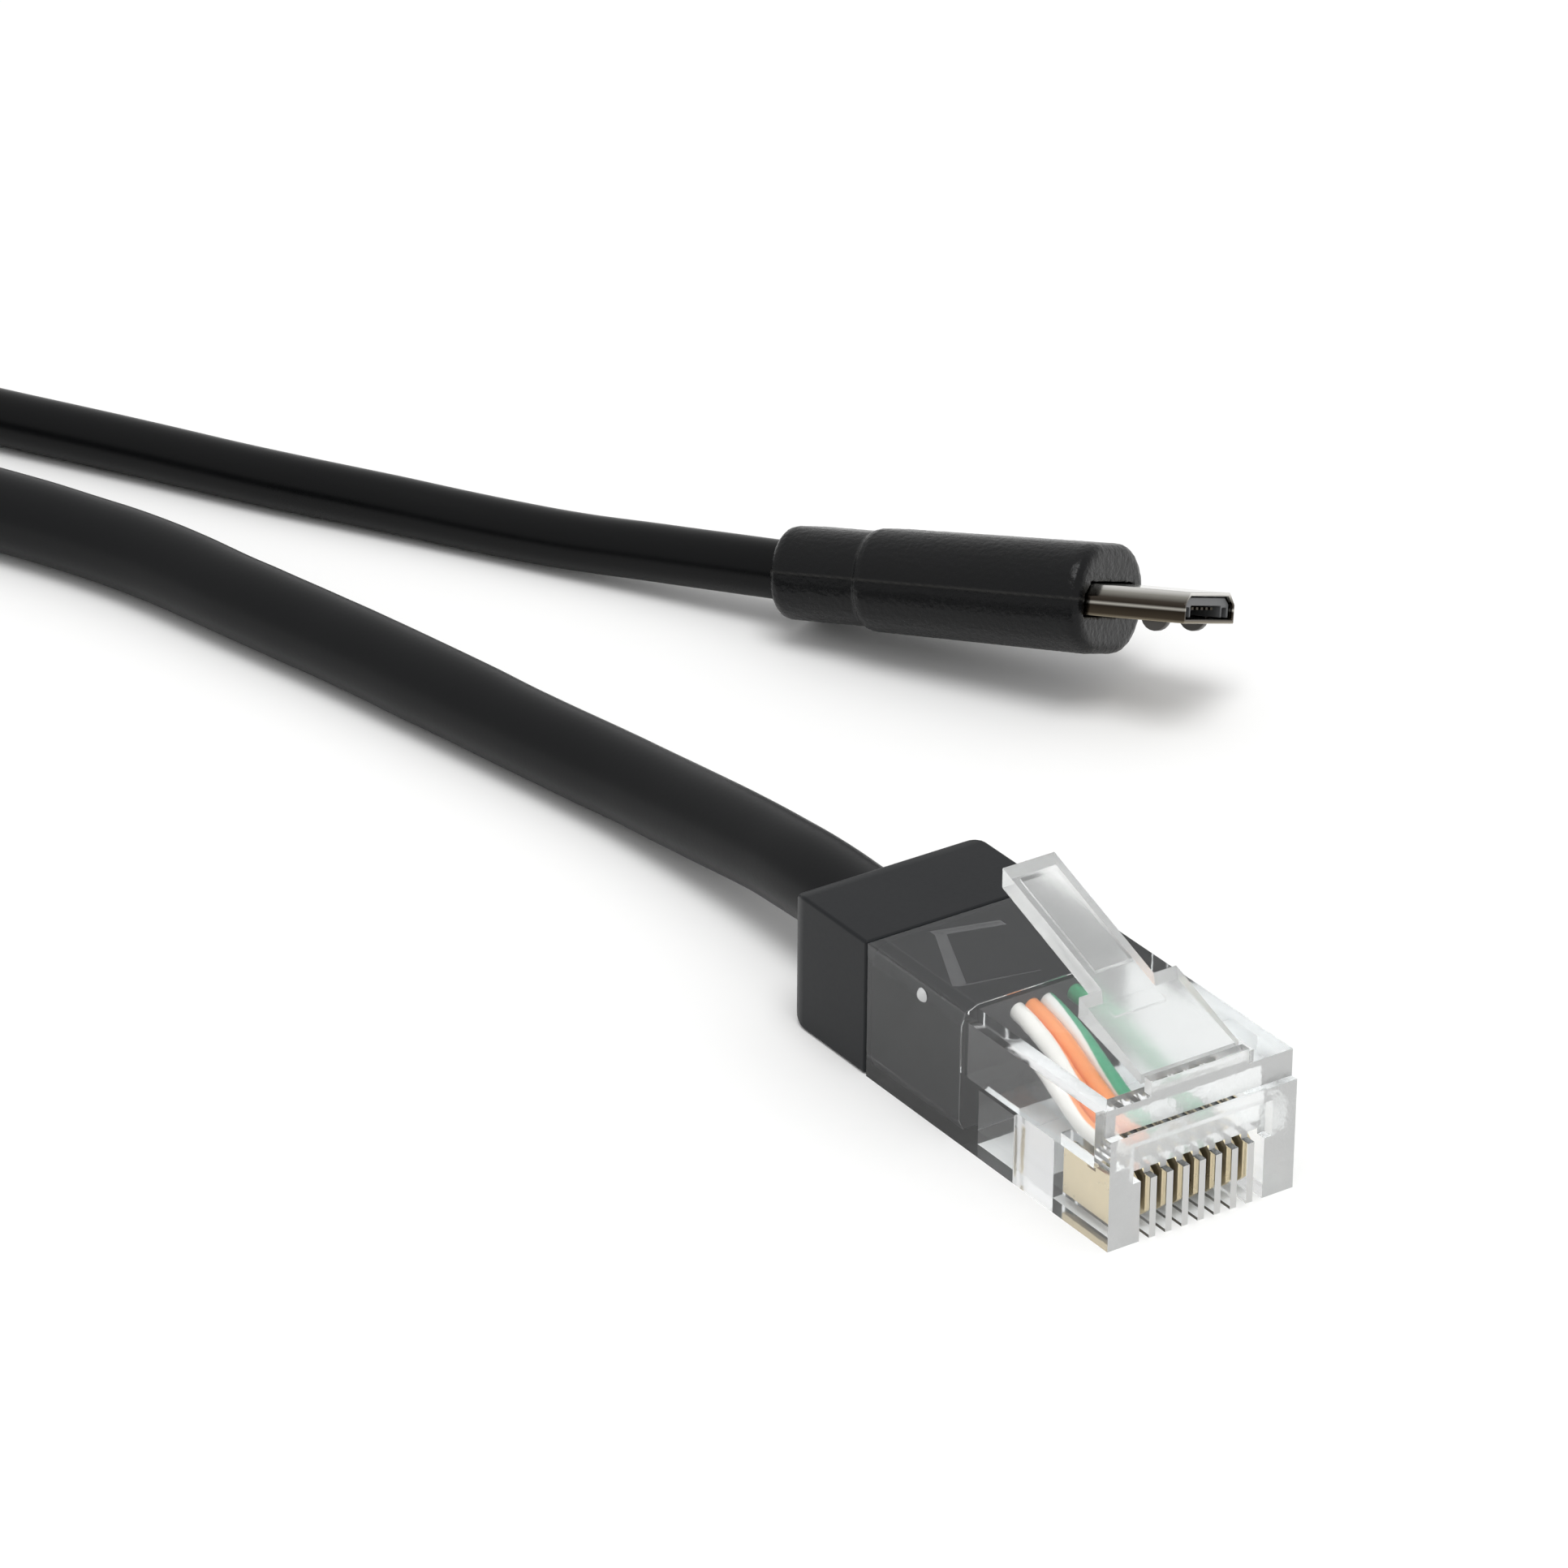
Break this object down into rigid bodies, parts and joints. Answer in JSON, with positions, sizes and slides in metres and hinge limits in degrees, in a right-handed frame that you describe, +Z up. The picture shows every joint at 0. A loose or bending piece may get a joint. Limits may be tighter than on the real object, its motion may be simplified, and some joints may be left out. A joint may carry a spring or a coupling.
{
  "type": "power over ethernet splitter",
  "caption": "Small in-line splitter box with a network socket at one end and two short leads at the other, one to a clear modular network plug and one to a micro power plug.",
  "frame": {"origin": "middle of the housing's underside, which stands on the floor", "axes": "+X from the socket end of the housing to the end that the leads leave, +Z up, +Y to the power lead's side"},
  "size_m": [0.2566, 0.0651, 0.022],
  "materials": {
    "housing_plastic": "fine satin texture",
    "socket_plastic": "smooth moulded",
    "board": "satin",
    "contact_gold": "plated",
    "boot_plastic": "satin moulded",
    "cord_jacket": "satin sheath",
    "mould_plastic": "fine pebbled texture",
    "clear_plastic": "clear polished",
    "nickel": "polished nickel",
    "spring_steel": "satin",
    "insulator": "matt",
    "wire_white_orange": "satin",
    "wire_orange": "satin",
    "wire_white_green": "satin",
    "wire_green": "satin"
  },
  "bodies": {
    "splitter": {"housing_lower_shell": "housing_plastic", "housing_upper_shell": "housing_plastic", "network_socket": "socket_plastic", "network_socket_contact_1": "contact_gold", "network_socket_contact_2": "contact_gold", "network_socket_contact_3": "contact_gold", "network_socket_contact_4": "contact_gold", "network_socket_contact_5": "contact_gold", "network_socket_contact_6": "contact_gold", "network_socket_contact_7": "contact_gold", "network_socket_contact_8": "contact_gold", "circuit_board": "board", "network_strain_relief": "boot_plastic", "power_strain_relief": "boot_plastic", "network_cord": "cord_jacket", "power_cord": "cord_jacket", "network_plug_boot": "boot_plastic", "network_plug_body": "clear_plastic", "network_plug_contact_1": "contact_gold", "network_plug_contact_2": "contact_gold", "network_plug_contact_3": "contact_gold", "network_plug_contact_4": "contact_gold", "network_plug_contact_5": "contact_gold", "network_plug_contact_6": "contact_gold", "network_plug_contact_7": "contact_gold", "network_plug_contact_8": "contact_gold", "network_wire_1_white_orange": "wire_white_orange", "network_wire_2_orange": "wire_orange", "network_wire_3_white_green": "wire_white_green", "network_wire_6_green": "wire_green", "power_plug_mould": "mould_plastic", "power_plug_shell": "nickel", "power_plug_insulator": "insulator", "power_plug_contact_1": "contact_gold", "power_plug_contact_2": "contact_gold", "power_plug_contact_3": "contact_gold", "power_plug_contact_4": "contact_gold", "power_plug_contact_5": "contact_gold"},
    "latch": {"network_plug_latch": "clear_plastic"},
    "hook_near": {"power_plug_hook_near": "spring_steel"},
    "hook_far": {"power_plug_hook_far": "spring_steel"}
  },
  "joints": [
    {"name": "latch_press", "type": "hinge", "parent": "splitter", "child": "latch", "pos_m": [0.21174, -0.04436, 0.00827], "axis": [0.4818, 0.8763, 0], "range_deg": [-12, 0], "stiffness_Nm_per_rad": 0.25},
    {"name": "hook_near_press", "type": "hinge", "parent": "splitter", "child": "hook_near", "pos_m": [0.18408, 0.00376, 0.00671], "axis": [0.0548, 0.9191, -0.3901], "range_deg": [-4.5, 0], "stiffness_Nm_per_rad": 0.04},
    {"name": "hook_far_press", "type": "hinge", "parent": "splitter", "child": "hook_far", "pos_m": [0.18436, 0.00845, 0.00472], "axis": [0.0548, 0.9191, -0.3901], "range_deg": [-4.5, 0], "stiffness_Nm_per_rad": 0.04}
  ]
}
